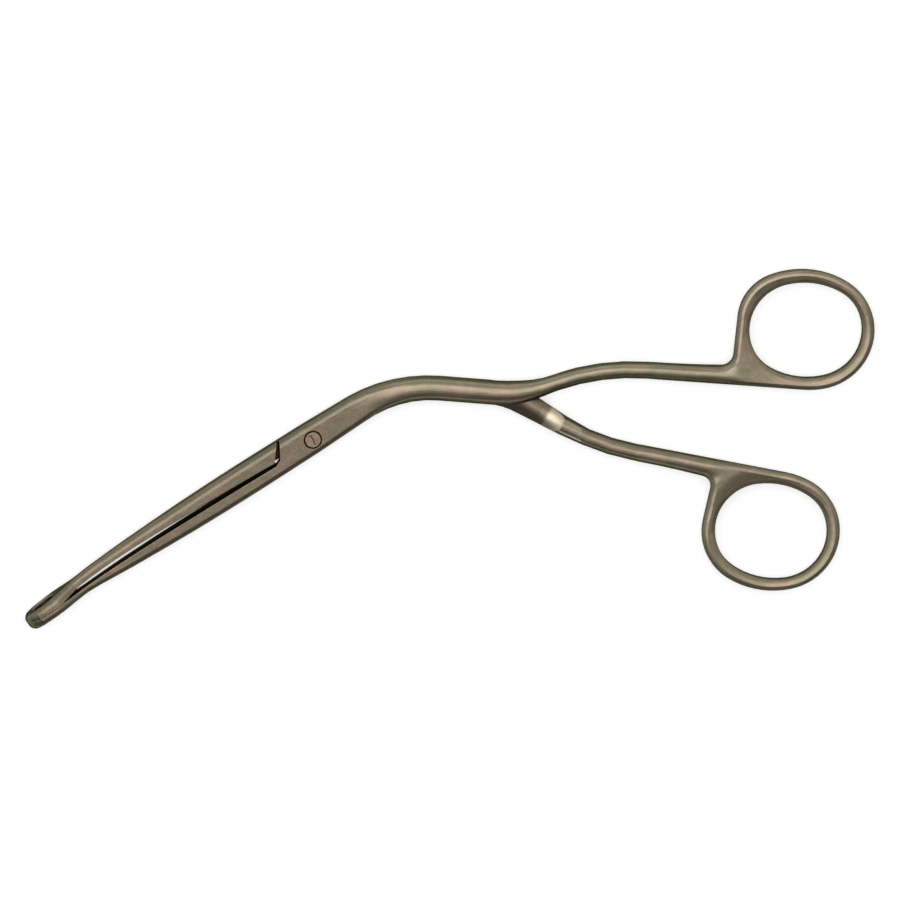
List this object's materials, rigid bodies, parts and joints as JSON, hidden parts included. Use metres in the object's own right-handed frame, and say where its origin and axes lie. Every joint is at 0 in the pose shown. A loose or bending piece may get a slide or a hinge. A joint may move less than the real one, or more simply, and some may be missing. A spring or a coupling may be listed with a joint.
{
  "type": "magill forceps",
  "caption": "Angled catheter-introducing forceps: crossed steel arms on a slotted pivot screw, finger rings behind and fenestrated, serrated gripping loops at the tips.",
  "frame": {"origin": "where the pivot axis meets the flat underside of the joint", "axes": "+Z along the pivot axis towards the screw's slotted head, +X towards the finger rings along the forceps' greatest length, +Y to the side of the upper finger ring"},
  "size_m": [0.2376, 0.0988, 0.0084],
  "materials": {
    "satin_steel": "satin ground and bead blasted, warm grey",
    "screw_steel": "faced flush with the joint, satin"
  },
  "bodies": {
    "upper_ring_arm": {"top_arm": "satin_steel"},
    "lower_ring_arm": {"bottom_arm": "satin_steel", "pivot_screw": "screw_steel"}
  },
  "joints": [
    {"name": "pivot", "type": "hinge", "parent": "upper_ring_arm", "child": "lower_ring_arm", "pos_m": [0, 0, 0], "axis": [0, 0, -1], "range_deg": [0, 38]}
  ]
}
